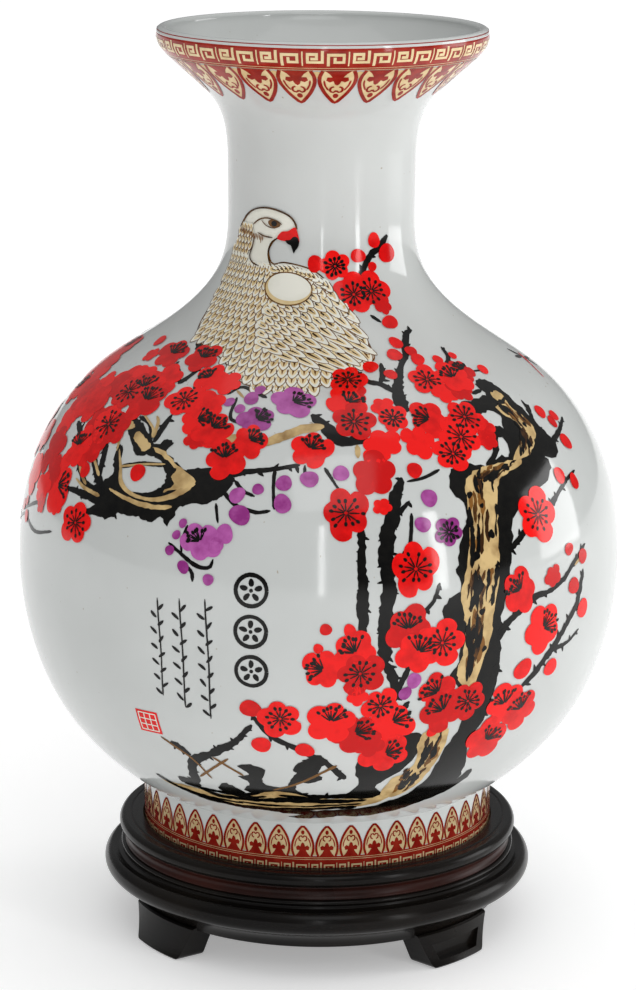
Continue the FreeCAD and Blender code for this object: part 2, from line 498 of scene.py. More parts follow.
def noise(tree, scale, detail=4.0, stretch=(1, 1, 1)):
    """A noise value in the object's own coordinates."""
    place = tree.nodes.new("ShaderNodeTexCoord")
    mapping = tree.nodes.new("ShaderNodeMapping")
    mapping.inputs["Scale"].default_value = stretch
    texture = tree.nodes.new("ShaderNodeTexNoise")
    texture.inputs["Scale"].default_value = scale
    texture.inputs["Detail"].default_value = detail
    tree.links.new(place.outputs["Object"], mapping.inputs["Vector"])
    tree.links.new(mapping.outputs["Vector"], texture.inputs["Vector"])
    return texture.outputs["Fac"]


def ramp(tree, value, stops):
    """Colours along a value, as (place, colour) stops."""
    node = tree.nodes.new("ShaderNodeValToRGB")
    elements = node.color_ramp.elements
    while len(elements) < len(stops):
        elements.new(0.5)
    for element, (place, colour) in zip(elements, stops):
        element.position = place
        element.color = colour
    tree.links.new(value, node.inputs["Fac"])
    return node.outputs["Color"]


def mixed(tree, share, first, second):
    """Two colours mixed by a share from 0 to 1; each of the three may be a value or a socket."""
    node = tree.nodes.new("ShaderNodeMix")
    node.data_type = "RGBA"
    for place, value in ((0, share), (6, first), (7, second)):
        socket = node.inputs[place]
        if isinstance(value, bpy.types.NodeSocket):
            tree.links.new(value, socket)
        else:
            socket.default_value = value
    return node.outputs[2]


def bump(tree, shader, height, strength, distance):
    """Fine relief of a height, by a strength and a depth in metres."""
    node = tree.nodes.new("ShaderNodeBump")
    node.inputs["Strength"].default_value = strength
    node.inputs["Distance"].default_value = distance
    tree.links.new(height, node.inputs["Height"])
    tree.links.new(node.outputs["Normal"], shader.inputs["Normal"])


def between(tree, value, low, high):
    """A value from 0 to 1 carried over to a range."""
    node = tree.nodes.new("ShaderNodeMapRange")
    node.inputs["To Min"].default_value = low
    node.inputs["To Max"].default_value = high
    tree.links.new(value, node.inputs["Value"])
    return node.outputs["Result"]


def glaze():
    """Cool white porcelain under a clear glaze, with a faint cloudiness and tiny dark specks."""
    material, tree, shader = new_material("porcelain_glaze", 0.09, 0.45)
    pale = [(0.3, linear(190, 193, 191)), (0.7, linear(201, 204, 202))]
    clouds = ramp(tree, noise(tree, 14, 3), pale)
    specks = ramp(tree, noise(tree, 520, 0), [(0.1, BLACK), (0.14, WHITE)])
    colour = mixed(tree, specks, linear(165, 158, 145), clouds)
    tree.links.new(colour, shader.inputs["Base Color"])
    tree.links.new(between(tree, noise(tree, 60, 2), 0.05, 0.13), shader.inputs["Roughness"])
    bump(tree, shader, noise(tree, 45, 1), 0.05, 0.0006)
    return material


def enamel(name, deep, pale, scale=220.0):
    """A fired colour under the glaze: it goes from deep to pale by brush grain and by tone."""
    material, tree, shader = new_material(name, 0.1, 0.24)
    attribute = tree.nodes.new("ShaderNodeAttribute")
    attribute.attribute_name = "tone"
    grain = tree.nodes.new("ShaderNodeMath")
    grain.operation = "MULTIPLY_ADD"
    tree.links.new(noise(tree, scale, 3), grain.inputs[0])
    grain.inputs[1].default_value = 0.6
    tree.links.new(attribute.outputs["Fac"], grain.inputs[2])
    shifted = tree.nodes.new("ShaderNodeMath")
    shifted.operation = "SUBTRACT"
    tree.links.new(grain.outputs[0], shifted.inputs[0])
    shifted.inputs[1].default_value = 0.3
    colour = ramp(tree, shifted.outputs[0], [(0.35, deep), (0.65, pale)])
    tree.links.new(colour, shader.inputs["Base Color"])
    tree.links.new(between(tree, noise(tree, 90, 2), 0.07, 0.16), shader.inputs["Roughness"])
    bump(tree, shader, noise(tree, 260, 2), 0.04, 0.0003)
    return material


def lacquer(name, deep, worn, roughness):
    """Dark lacquered wood: faint streaks, worn patches and a satin shine."""
    material, tree, shader = new_material(name, roughness, 0.12)
    grain = noise(tree, 46, 6, (1, 1, 9))
    patches = noise(tree, 22, 4)
    colour = mixed(tree, ramp(tree, patches, [(0.42, BLACK), (0.72, WHITE)]), deep, worn)
    colour = mixed(tree, between(tree, grain, 0.0, 0.5), colour, deep)
    tree.links.new(colour, shader.inputs["Base Color"])
    rough = between(tree, patches, roughness * 0.7, roughness * 1.5)
    tree.links.new(rough, shader.inputs["Roughness"])
    bump(tree, shader, grain, 0.12, 0.0004)
    return material


def wood(name, deep, pale):
    """Bare wood with plain grain along X."""
    material, tree, shader = new_material(name, 0.6, 0.3)
    grain = noise(tree, 60, 5, (0.15, 1, 1))
    colour = ramp(tree, grain, [(0.35, deep), (0.65, pale)])
    tree.links.new(colour, shader.inputs["Base Color"])
    bump(tree, shader, grain, 0.2, 0.0004)
    return material


PORCELAIN = glaze()
RED = enamel("enamel_red", linear(196, 1, 2), linear(236, 16, 13))
PURPLE = enamel("enamel_purple", linear(136, 44, 120), linear(178, 92, 164))
INK = enamel("enamel_ink", linear(2, 2, 2), linear(17, 16, 13), scale=320)
TAN = enamel("enamel_tan", linear(112, 76, 32), linear(204, 176, 124), scale=150)
BROWN = enamel("enamel_brown", linear(50, 28, 8), linear(126, 84, 36))
BUFF = enamel("enamel_buff", linear(208, 184, 134), linear(226, 208, 166), scale=160)
PALE = enamel("enamel_pale", linear(218, 217, 204), linear(230, 229, 218), scale=160)
BRICK = enamel("enamel_brick", linear(132, 24, 17), linear(166, 48, 33), scale=200)
CREAM = enamel("enamel_cream", linear(208, 180, 130), linear(230, 210, 166), scale=200)
LACQUER = lacquer("black_lacquer", linear(13, 11, 10), linear(27, 23, 19), 0.2)
RED_LACQUER = lacquer("reddish_lacquer", linear(30, 14, 11), linear(62, 28, 21), 0.26)
PANEL_WOOD = wood("panel_wood", linear(38, 30, 26), linear(66, 52, 43))
DOWEL_WOOD = wood("dowel_wood", linear(176, 144, 100), linear(206, 178, 134))


# ------------------------------------------------------------------ blossom
PETAL_STEP = 0.012
PETAL_LIFTS = 8
PETAL_GROWTH = 1.14
FAN = 2.2


def petals(size, turn, squash, uneven):
    """A five-petalled outline: the reach of five round petals set about the centre."""
    steps = 50
    t = np.arange(steps) * 2 * math.pi / steps
    fifth = 2 * math.pi / 5
    grow = 1 + uneven * rng.uniform(-1, 1, 5)
    which = np.floor(t / fifth).astype(int) % 5
    off = t - (which + 0.5) * fifth
    centre, round_ = 0.56 * grow[which], 0.46 * grow[which]
    inner = np.maximum(round_ ** 2 - (centre * np.sin(off)) ** 2, 0.01)
    reach = size * (centre * np.cos(off) + np.sqrt(inner))
    x = reach * np.cos(t)
    y = reach * np.sin(t) * squash
    c, s = math.cos(turn), math.sin(turn)
    return np.column_stack([x * c - y * s, x * s + y * c])


def stamens(layer, angle, climb, size, turn, squash, fan):
    """Fine filaments from the centre, all round or in a fan, each with a dot beyond its end."""
    all_round = fan == ROUND
    count = 12 if all_round else 9
    for i in range(count):
        t = turn + fan * ((i + 0.5) / count - 0.5) + rng.uniform(-0.1, 0.1)
        reach = size * rng.uniform(0.38, 0.6) * (1 if all_round else 1.3)
        x, y = math.cos(t), math.sin(t) * squash
        start = beside(angle, climb, 0.08 * size * x, 0.08 * size * y)
        end = beside(angle, climb, reach * x, reach * y)
        stroke(layer, [start, end], 0.62, taper=0.6, spacing=2)
        tip = reach + size * rng.uniform(0.08, 0.18)
        dot = beside(angle, climb, tip * x, tip * y)
        spread(layer, *dot, oval(1.0, 0.72, math.degrees(t), 8))


def blossom(petal_layer, ink_layer, angle, climb, size, open_flower, order):
    """A five-petalled blossom; lifts in turn keep it off the ones that it overlaps."""
    turn = rng.uniform(0, ROUND)
    squash = rng.uniform(0.84, 1.0)
    outline = petals(size * PETAL_GROWTH, turn, squash, 0.12)
    tone = rng.uniform(0.22, 0.72)
    lift = PETAL_STEP * (order % PETAL_LIFTS)
    spread(petal_layer, angle, climb, outline, tone, lift, tone + 0.12)
    if open_flower:
        fan = ROUND if rng.uniform() < 0.45 else FAN
        heading = rng.uniform(0.2, 2.9)
        stamens(ink_layer, angle, climb, size, heading, squash, fan)


def bud(layer, angle, climb, size, order):
    """A round closed bud."""
    outline = oval(size, size * 0.9, rng.uniform(0, 180), 22, 0.04)
    lift = PETAL_STEP * (order % PETAL_LIFTS)
    spread(layer, angle, climb, outline, rng.uniform(0.35, 0.6), lift)


# Blossoms as (angle, climb, radius); open ones show their stamens.
RED_OPEN = traced("""
-52,94,9 -47.5,88,9.5 -56,90,9 -61.5,41,9.5 -54,73,9.5 -60,60,8.5 -52,29.5,9.3 -55,114.5,8.3
-41,116,8 -33,106,6.5 -36,92,8 -29.5,83,7 -25,80,8 -15.5,76,7 -20,67,8 8,109,7.5 7,96,8 8,86,8.5
17.5,87,6.5 -2,73,7.8 5,46,9.5 26.5,85,8 36,84,8.5 32.5,75,8.5 29,68,8 32,106,8 41,105,8 46.5,108,6
45.5,37,10 17.5,22.5,10 39,8,8.5 45,-10.5,10.5 38,-42,9 43,-47,9 36,-60,10 16,-2,9 18,-12,9
22.5,-9,9 1,-18,8 6.5,-11,8 7.5,-20,9 11.5,-35,7 2.5,-42,9 7,-48,9 14,-43,9 13.5,-60,9 22.5,-31,9
24,-40,9 29,-37,8 -7,-41,8 8,166.5,6 17,154,8 27,155,8 -84,79,8.5 -88,106,8 200,26,9 186,44,9.5
172,60,9 178,69,8 187,74,8.5 209,34,8.5 170,31,8.5 158,90,7.5
""")
RED_SIDE = traced("""
-61.5,95,9 -57,97,8 -47.5,100,8.5 -62.5,90,8 -70,88,6.5 -74,80,8.5 -69.5,79,8.5 -66,79,8 -73,70,8
-72,62,7 -70.5,55,8.5 -72,48,6 -66,45,7 -68,37,7.5 -67,30.5,4 -60,34,5 -58,73,8 -55,61,8 -62,53,4.5
-51,72,7 -77,40,9 -27,104,6 -64,110.5,4 -29,91,8 -28,74,5 8,101,6 16,93,5 14,75,7 12,69,5 11,62,8.5
12,48,3.5 22,75,7 40,77,5 39,72,5 35,98,6 40,98,6 47.5,10.5,4.5 7,-30,4 10,-54,6 31,148,4.5
-80,88,8 -86,97,8.5 -91,90,8 -93,101,7.5 -99,95,8 -82,55,7 -88,49,8 -91,60,7.5 -97,52,8
-103,101,6.5 193,52,7 166,84,6.5 213,24,7
""")
RED_BUDS = traced("""
-54,51.5,3.5 -39,56,4 -81,97.5,4.5 -83,55,3 -75,21,3 -76.5,27,2.5 -69.5,118.5,3.5 19.5,62.5,3.5
55,106,3 21.5,111,3 61.5,78,3.5 63.5,72,3 66,74,3 64,62,4 55.5,50,3.8 60,45.5,3.5 53,19.5,3
57.5,14.5,3.5 29,128.5,3.3 26,122,3.6 33,123,3 33.5,118,3.5 31,139.5,3.8 30.5,165.5,2.2
41,116.5,2.6 48.3,117,2.2 16,116,3.5 54,3.5,4 57.5,-8,4.5 41,-27,5 49,-30,4.3 5.5,-1.5,2.8
1.3,-1,2.6 0,-9,2.2 22.5,-50,2.8 -12.5,-37,4.5 -11,-55,4.3 -2.5,-57,4 -3.5,167.5,3.6 22,170.5,3.3
33,176.5,3.3 42,170.5,4.5 -110,108,3.6 -117,110,3 -106,117,3.4 -111,65,3.6 -106,57,3.2 -85,17,3.4
-79,24,3 151,99,3.4 154,75,3.4 161,27,3.6 222,43,3.6 193,95,3.6 216,43,3 158,69,2.8 183,88,3
""")
PURPLE_OPEN = traced("-15,86,7 -7,96,8 24.5,36,6 -22,32,8")
PURPLE_BUDS = traced("""
-23.5,94,2.5 -18,97,3.5 -16.5,102,2.5 -20,91,2.5 -7,58,3.5 -2,60,3.8 4.3,62.5,3.5 -7,49.5,4
-16,52,3.5 -15,44,4.5 -12,55,2.5 21.5,50.5,3.8 19.5,40,3.5 -26,38.5,2 -27,33.5,2 -28,27,2.2
-25,21,2.8 -20,17,2.5 -17.5,36,4 -19,31,3.5 17.5,-24.5,3.5 16,-30,3 204,10,3.6 196,8,3.2 181,31,3.6
175,42,3.4 194,64,3.2
""")


def paint_blossoms():
    """All red and purple blossoms and buds, the ones without stamens lowest."""
    red = Enamel("red_blossoms", RED, 0.3)
    purple = Enamel("purple_blossoms", PURPLE, 0.3)
    ink = Enamel("stamens", INK, 0.5)
    for order, place in enumerate(RED_SIDE + RED_OPEN):
        blossom(red, ink, *place, order >= len(RED_SIDE), order)
    for order, place in enumerate(RED_BUDS):
        bud(red, *place, order)
    for order, place in enumerate(PURPLE_OPEN):
        blossom(purple, ink, *place, True, order)
    for order, place in enumerate(PURPLE_BUDS):
        bud(purple, *place, order)
    finish(red, purple, ink)


# ----------------------------------------------------------------- branches
# Brush lines as (points, widths along them, roughness).
INK_LINES = brush_lines("""
-59,42 -52,42 -46,41.5 | 1.5 3 4 | 0.4;
-58,55 -55,50 -52,46 -47,43 | 3 3.4 4 | 0.35;
-54,60 -51.5,55 -49,50 -46,44 | 3 4 4.5 | 0.35;
-51,35 -45,37 -41,40 | 3 5 | 0.5;
-51,65 -50,58 -49,50 -47,44 | 3 | 0.3;
-44,57 -39,60 -33,61 | 1.8 | 0.3;
-38,70 -37.5,78 -37,84 | 3 2 | 0.3;
-46,80 -42,78 -39,72 | 2 | 0.3;
-62,65 -67,69 | 4 2 | 0.3;
-79,22 -72,28 -68,31 | 1 1.8 | 0.3;
-86,92 -80,86 -76,82 | 2 3 | 0.3;
-86,50 -78,50 | 1 2 | 0.3;
-42,100 -40,106 -39,111 | 2.5 1.6 | 0.3;
-42,101 -46,107 -50,110 | 2.5 1.2 | 0.3;
-47,120 -46.5,125 | 3 1.5 | 0.2;
-35,98 -37,103 | 2 1.4 | 0.2;
-25,98 -22,103 -18,101 -14,98 | 1.2 1.8 | 0.2;
-22,97 -21.5,86 -17,84 | 1.6 | 0.2;
-20,60 -15,62 -10,63.5 -4,66 | 4 2.4 2.2 2 | 0.35;
-19,53 -16,48 -12,45.5 -9.2,46.5 | 2 1.4 | 0.3;
-17,58 -15,54 -12.5,52 | 1.6 1.2 | 0.3;
-9,64 -9,56 -8.5,47 | 2 1.2 | 0.3;
-3,66 -3,60 | 1.6 1 | 0.2;
1,65 4,55 | 1.6 1 | 0.2;
-25,38 -25.8,31 -25.5,26 | 1.4 1 | 0.2;
-28.5,30 -25.5,26 -22.5,22 -20,22 -19.3,25.5 | 1.4 1.8 1.2 | 0.3;
-24.5,22 -23.2,19 -23,15.5 | 1.2 1.8 | 0.3;
-20,48 -19,40 | 1.6 1 | 0.2;
-2,90 2,82 5,77 11,77 | 3 5 5 3 | 0.35;
8,40 7.7,25 7.8,10 7.5,-5 | 3.6 3.2 3.8 3.4 | 0.55;
16.5,60 14.8,52 13.5,44 12.5,35 12.3,20 12.4,8 12,-6 12,-16 | 2 4 5.5 6 6 6 5.5 4.5 | 0.5;
17.5,50 15,45 | 1.2 2.4 | 0.2;
17.5,45 17,35 16.5,30 | 1.6 2 | 0.3;
15.5,30 15.3,16 | 2 1.4 | 0.3;
22,16 20.5,8 17.5,2 | 1.6 2.4 | 0.3;
11.5,-15 13.5,-22 14,-32 | 4 4 4.5 | 0.5;
17,-16 15.5,-24 14,-34 | 2 2.8 | 0.4;
17,-34 15.5,-39 | 2 3 | 0.3;
17.5,58 21,59 25,62 | 1.2 1.4 | 0.2;
34,-8 38,-2 42,3 47,5 51,8 54,13 59,19 | 3.5 3 3 2.4 2 1.8 | 0.5;
34,-12 36,-6 | 2 3 | 0.4;
41.5,-36 45,-29 48,-22 52,-13 55,-6 56.5,3 57.5,9 | 4.5 4 4 3.4 3 1.6 | 0.5;
48,-22 53,-21 57,-17 | 2.4 1.2 | 0.4;
37,25 40,30 42,33 | 3 2.4 | 0.4;
50,39 53,43 57,47 62,49.5 | 3 2.4 1.8 1.2 | 0.45;
57,62 60,65 65,68 70,71.5 | 4 2.6 1.8 1.6 | 0.4;
56,70 57,78 59,83 | 3 2.4 | 0.4;
57.5,80 58,86 | 2 1.2 | 0.3;
34.5,-22 33.5,-40 33.5,-48 | 4 3 | 0.4;
21,90 21,100 23,108 26,115 30,121 33,128 36,133 39.5,134.5 | 6 5 4.2 3.4 3 2.6 2.4 1.8 | 0.4;
17.5,107 19,111 20,118 | 2.8 1.8 | 0.3;
21,100 17.5,106 14,108 11,114 9,115 | 3 2.5 1.6 | 0.35;
43,95 47,96 | 2 | 0.2;
42,112 46,117 47,123 | 2.4 1.6 | 0.3;
50,106.5 54,106 | 1.1 | 0.1;
23,144 27,140 | 1.6 | 0.2;
18.5,159 24,164 30,170 37,173.5 43.5,178 | 1.6 2.4 3 3 3.6 | 0.35;
-30,-90 -28,-75 -26,-68 -21,-62 -16,-54 -12.5,-45 | 5 4 4 3.5 3 2 | 0.5;
-31,-60 -27,-66 | 4 3 | 0.4;
-12.5,-40 -9,-50 -3,-58 -0.5,-62 | 2 2.6 3.4 | 0.35;
0,-60 6,-75 | 2.4 3.2 | 0.35;
-1.5,-62 -3.5,-72 -5.5,-80 -5,-85 -1,-88 8,-88 | 4 3.5 3 2.6 3 | 0.45;
0,-66 -2,-72 -5,-75 | 4.5 4 | 0.5
""")
# The side away from the photograph: the left bough runs on, and a slender sprig stands at the back.
INK_LINES += brush_lines("""
-84,91 -92,96 -101,97 -110,104 -118,106 | 2.6 3 2.4 1.6 0.9 | 0.4;
-96,97 -99,106 -105,113 | 2 0.9 | 0.3;
-84,50 -93,55 -103,54 -112,61 | 2.2 2 1 | 0.4;
-60,22 -68,18 -77,21 -85,14 | 1.2 1.8 1 | 0.3;
206,-22 201,0 196,18 188,38 179,54 171,74 160,92 152,97 | 5.5 5 4.4 3.8 3 2.4 1.6 0.9 | 0.45;
200,4 208,16 214,32 222,40 | 3 2.4 1.6 0.9 | 0.4;
192,28 181,24 172,30 163,29 | 2.6 2 1.4 0.8 | 0.4;
182,50 186,64 187,80 192,92 | 2.4 1.8 1.4 0.8 | 0.4;
173,70 163,66 155,71 | 1.8 1.2 0.7 | 0.4
""")
TAN_LINES = brush_lines("""
-53.5,59 -51,54.5 -49,51 | 1.2 1.8 | 0.35;
-46.5,64 -44,57 -42.5,51 -39.5,47.3 -35,46 -31,47.5 -27.5,51.5 -25.5,56 | 0.8 1.4 1.8 1.8 1.6 2.2
3.4 4 | 0.3;
-48,69 -47,63 | 1.6 1 | 0.3;
-45.5,82 -43,79.5 -40,76 -39,72 | 1 1.3 | 0.2;
-41,82 -39.5,79 -38.7,72 | 1.2 1.8 | 0.3;
-33,61.5 -38,60 -44,57 | 0.8 1.1 | 0.2;
-57.5,54.5 -54.7,49.5 -52,46 | 1.2 1.8 | 0.3;
-13,74 -8,79 -4,82.5 1,84 | 3.4 4.4 4.4 3 | 0.3;
8,75 8,69 | 2.4 1.6 | 0.3;
-22,-65 -16,-75 | 1.3 | 0.2;
-18.5,-65 -27,-80 | 1.3 | 0.2;
4,-66 -4,-78 -10,-84 | 1.6 1.2 | 0.3;
-33,-58 -27,-68 -24,-80 | 1.1 | 0.2;
-24,74 -18,75.5 -12,74 | 3.4 5 4 | 0.4;
-56,47 -52,44.5 -47,43 | 1 1.6 | 0.4;
-45,47 -40,44.5 -34,43 -29,44.5 | 0.8 1.6 2.2 1.4 | 0.5;
57.5,15 54.5,12 | 1.4 | 0.2;
-20,97 -23,101 | 1.1 | 0.2
""")
KNOT = traced("""
-19,60 -22,62.5 -25.5,62 -28,60.5 -31,63.5 -34,67 -33,71 -35,72 -37,69 -40,73 -43,76.5 -46,79
-49.5,78 -49,74.5 -46,71.5 -43,66 -41,63 -38.5,64 -36,63.5 -33.5,61 -32,57.5 -32,54 -33.5,50
-36.5,48 -40,48 -42,50.5 -44,57 -46,65.5 -47.5,64.5 -46.5,58 -45.5,53 -47.5,49 -50,46 -48.5,43
-53,43 -58,42.5 -52,40.5 -47.5,40 -50,36 -47,36.5 -44,34.5 -41,38 -38,37.5 -36,38.5 -33.5,37 -31,40
-29.5,36.5 -28,41.5 -27.5,45 -24,47 -20,49 -18,54 -17,58
""")
KNOT_TAN = outlines("""
-50,77 -47,76.8 -45.3,74.8 -47,73 -50,74;
-44,73 -41,71.5 -38.3,68 -39.5,65.3 -42,67.5 -44,70;
-38,68 -34,67 -31,62.5 -27,59 -25,55.5 -26.5,53 -29,51.5 -31.5,50 -29.8,53.5 -30.8,57 -30,60
-33.5,63.8
""")
TRUNK = traced("""
27,60 31,63 36,61 40,64 44,63 50,62 54,58 52.5,51 47,46 42,42 39,37 38,28 37,18 36,8 34.5,-5 35,-18
33.5,-30 34,-45 32,-58 33.5,-75 34,-84 30,-92 27,-100 21,-107 13,-110 6,-109 -2,-112 -8,-111
-4,-107 5,-104 13,-100 18,-95 22,-90 25,-80 26,-68 27,-58 29,-45 27.5,-32 24.5,-25 26,-18 26,-8
24,-3 22.5,3 23.5,9 26,12 25.5,19 26,27 27.5,36 29,45 26.5,52
""")
ARCH = traced("""
45,58 50,60 57,58 59.5,62 58.5,68 56.5,76 55,88 54,95 52.5,99.5 49,101.5 46.5,98.5 47.5,94 44,92
38,91.5 36,88 40,84 44,85 46.5,82 45,75 44.5,70 45,65
""")
HOLE_RIM = traced("36,61 39,66.5 40.5,72 42,76.5 44.5,77 46,72 45.5,66 44,62 40,58")
HOLE = traced("39,62.5 41,67 42.3,72 43.8,71 43.6,66 42,62.5")
TRUNK_TAN = outlines("""
30,55 32.5,59.5 38,61 43,61.5 46,60 41.5,57 38,54 36.5,48 35.5,40 34.8,30 34.3,18 33.5,8 32.7,0
32.7,-8 31.7,-16 30.7,-24 29.7,-33 27.5,-29 25.8,-24 26.7,-16 27.2,-6 26.6,2 26,10 27,18 28.3,28
29,38 29.4,48;
43,60.5 46.5,66 49.8,71 50.5,76 47.8,82 47,86 50,86.5 52.3,88 52.3,84 54.2,78 54.8,71 52,66 48,61.5;
49,93 51.5,93.5 52.5,90.5 49.5,89;
21.5,-50 26,-50 26,-60 25,-70 24,-77 22,-86 18,-91 15,-88 16,-77 19,-73 20.5,-66 20,-56
""")
# Tan twigs below this climb are dark.
GROUND_CLIMB = -50
# Stretches of bark that carry streaks, as the two angles at the low and the high climb.
BARK = [
    (-30, (27.5, 30.2), 4, (27.2, 32.8)), (2, (26.6, 32.6), 22, (27.8, 34.4)),
    (20, (27.8, 34.2), 58, (30.2, 37)), (54, (31, 36), 61, (33, 45)), (61, (45, 50), 74, (50, 54)),
    (72, (50.2, 54.4), 88, (48, 52.4)), (-88, (16.5, 21), -70, (19, 24)),
    (-72, (21, 24), -50, (22, 26)),
]
KNOTS = traced("""
29,39,1.9 30.2,50,1.5 29.6,25,2.1 30.2,12,1.8 28.6,-7,2.4 33.4,33,1.9 33.8,18,1.5 30.4,32,1.2
32.4,45,1.1 30.4,2,1.5 31.2,-14,1.3 36,56,1.6 41,58.6,1.4 22,-68,1.6 19.5,-84,1.8 52.5,75,1.3
50.6,83,1.2
""")
GROUND_TAN = traced("""
-41,-86 -38,-90 -33,-90 -26,-92 -18,-91 -13,-87 -8,-85 -4,-87 0,-90 6,-90 12,-91 16,-88 17,-92
13,-97 5,-99.5 -5,-102.5 -15,-104 -25,-101 -33,-97 -39,-92
""")
GROUND_LINES = brush_lines("""
-41,-86 -36,-93 -30,-98 -22,-101.5 -14,-102 -8,-104 0,-103 | 1.6 3 3.6 2.6 4 4.4 | 0.6;
-29,-90 -24,-94 -16,-94 -8,-92.5 4,-92 12,-92 | 1.4 3 3.6 4 1.6 | 0.6;
-38,-91 -32,-95 -26,-97.5 -19,-98.5 | 1 2 1.4 | 0.6;
-12,-101 -4,-100.5 4,-99 10,-98.5 | 1.4 3 2.2 | 0.6;
-9,-88 -3,-89.5 4,-88.5 9,-89.5 | 1.4 2.6 2 | 0.6;
-23,-89 -18,-91.5 -12,-90 | 1.4 2.4 1.6 | 0.6;
-33,-88 -25,-90 -18,-90 -12,-85 | 1.6 2.6 2 | 0.4;
-20,-97 -12,-98 -3,-97 | 1 1.8 1 | 0.5;
-4,-98 4,-96 11,-95.5 | 1 2 1 | 0.5
""")
GROUND_MASSES = outlines("""
-34,-84 -32,-82.5 -30,-84 -29.5,-88 -33,-88;
-23.5,-87 -21.5,-82.5 -19,-84.5 -17,-89 -22,-89.5;
-17,-69 -14,-67.5 -11,-70 -12,-76 -11,-81 -6,-83 -7,-87.5 -14,-88 -17,-86 -15,-80 -17.5,-76
-14.5,-74;
-4,-65 0,-60 2,-64 0,-70 1,-75 -3,-78 -5.5,-76 -2,-72 -5,-70;
9,-58 15,-52 20,-50 21,-58 19,-68 16,-75 13,-82 16,-90 10,-92 6,-88 9,-80 8,-70;
22,-95 28,-92 33,-86 36,-78 37,-84 33,-94 27,-101 20,-104;
-2,-104 4,-101 12,-100 18,-98 20,-104 14,-109 8,-107 3,-110 -3,-108
""")


def paint_branches():
    """The tree: dark masses, brush lines, and the tan light along the bark."""
    ink = Enamel("ink_branches", INK, 0.12)
    tan = Enamel("tan_bark", TAN, 0.17)
    brown = Enamel("bark_shade", BROWN, 0.21)
    bark = Enamel("bark_lines", INK, 0.25)
    patch(ink, TRUNK, rough=0.7)
    patch(ink, ARCH, rough=0.7, lift=0.008)
    patch(ink, HOLE_RIM, [HOLE], rough=0.3, lift=0.016)
    patch(ink, KNOT, rough=0.6, grid=2.4)
    for order, outline in enumerate(GROUND_MASSES):
        patch(ink, outline, rough=0.5, lift=0.01 * (order % 4))
    for order, (points, widths, rough) in enumerate(INK_LINES):
        stroke(ink, points, widths, rough, 0.45, 0.006 * (order % 6))
        if max(widths) > 2:
            spurs(ink, points, widths)
    for order, outline in enumerate(TRUNK_TAN + KNOT_TAN):
        patch(tan, outline, rough=0.5, tone=0.6, lift=0.008 * order)
    patch(tan, GROUND_TAN, rough=0.4, tone=0.55)
    for order, (points, widths, rough) in enumerate(TAN_LINES):
        shade = 0.55 if points[0][1] > GROUND_CLIMB else 0.1
        stroke(tan, points, widths, rough, shade, 0.006 * (order % 5))
    for stretch in BARK:
        streak(bark, brown, *stretch)
    for angle, climb, size in KNOTS:
        spread(bark, angle, climb, oval(size, size * 0.8, 70, 18, 0.12), 0.35, 0.02)
    for points, widths, rough in GROUND_LINES:
        stroke(bark, points, widths, rough, 0.4, 0.01)
    finish(ink, tan, brown, bark)


def streak(dark, brown, low, low_span, high, high_span):
    """Broken lengthwise strokes of two colours over a stretch of bark."""
    for number in range(16):
        share = rng.uniform(0.04, 0.96)
        start, end = sorted(rng.uniform(0, 1, 2))
        end = max(end, start + 0.35)
        points = []
        for t in np.linspace(start, min(end, 1.0), 4):
            left = low_span[0] + (high_span[0] - low_span[0]) * t
            right = low_span[1] + (high_span[1] - low_span[1]) * t
            drift = rng.uniform(-0.06, 0.06)
            points.append((left + (right - left) * (share + drift), low + (high - low) * t))
        layer = dark if number % 3 == 0 else brown
        shade = rng.uniform(0.1, 0.7)
        stroke(layer, points, rng.uniform(0.4, 2.7, 4), 0.7, shade, 0.003 * number, 0.2)


# --------------------------------------------------------------------- bird
BODY = traced("""
-57,180 -62,172 -65,163 -65,155 -62,148 -60,140 -57,133 -52,127 -45,123 -38,120 -32,116 -27,110
-22,105 -16,103 -9,101 -3,103 1,107 3,110 8,115 13,118 18,120 18.5,127 17,135 14,142 12,149 8,155
2,161 -4,164.5 -12,166.5 -22,167.5 -29,166.5 -32.5,171 -31,174.5 -27,177.5 -20,179 -15,181.5
-15.5,184 -19,187 -26,189 -34,189.8 -42,189 -50,186
""")
BEAK = traced("""
-27,177.5 -24,180.3 -20,180.8 -15.5,182.5 -13.5,179 -13,176.2 -16,178 -20,176.6 -23.5,176.6
""")
BEAK_TIP = traced("""
-21.5,176.8 -18.5,177.2 -16.5,178.5 -14,178.2 -13,176.3 -13.5,174.3 -15,172.9 -16,171.6 -17,173
-18,174.8 -20,175.4
""")
HEAD_LINES = [
    ([(-57, 180), (-50, 186), (-42, 189), (-34, 189.8), (-26, 189), (-19, 187), (-15.5, 184),
      (-15, 181.5)], 0.7),
    ([(-45, 182), (-40, 184.5), (-34, 185.6), (-27, 184.6), (-24, 183.3)], 0.6),
    ([(-38, 184.3), (-34.5, 182.3), (-29, 181.6), (-25, 183)], 0.45),
    ([(-27, 177.5), (-31, 175), (-32.5, 171), (-31, 167.3), (-29, 165)], 0.7),
    ([(-41, 179), (-36, 177.8), (-30, 177.5)], 0.6),
    ([(-43, 178), (-45, 172), (-46, 168.5), (-43, 166), (-38, 165)], 0.6),
]
EYE = (-29, 183.5)
SHOULDER = (-17.5, 156)
SHOULDER_OVAL = (10.4, 7.3, -8, 36)
# Rows of feathers are set out from the crown over the body and from the shoulder over the wing.
CROWN = (-23, 180)
WING = traced("""
-27,147 -28,138 -24,129 -15,121.5 -4,117 6,115.5 14,118 18.5,121 18.5,127 17,135 14,142 12,149
8,155 2,161 -5,163.5 -12,160 -20,156
""")
# The face, throat and beak, which stay without feathers.
THROAT = traced("""
-45,181 -45.5,176 -47,172 -48.5,169 -46,166 -38,165 -30,166.5 -5,172 -5,195 -60,195 -58,181
""")
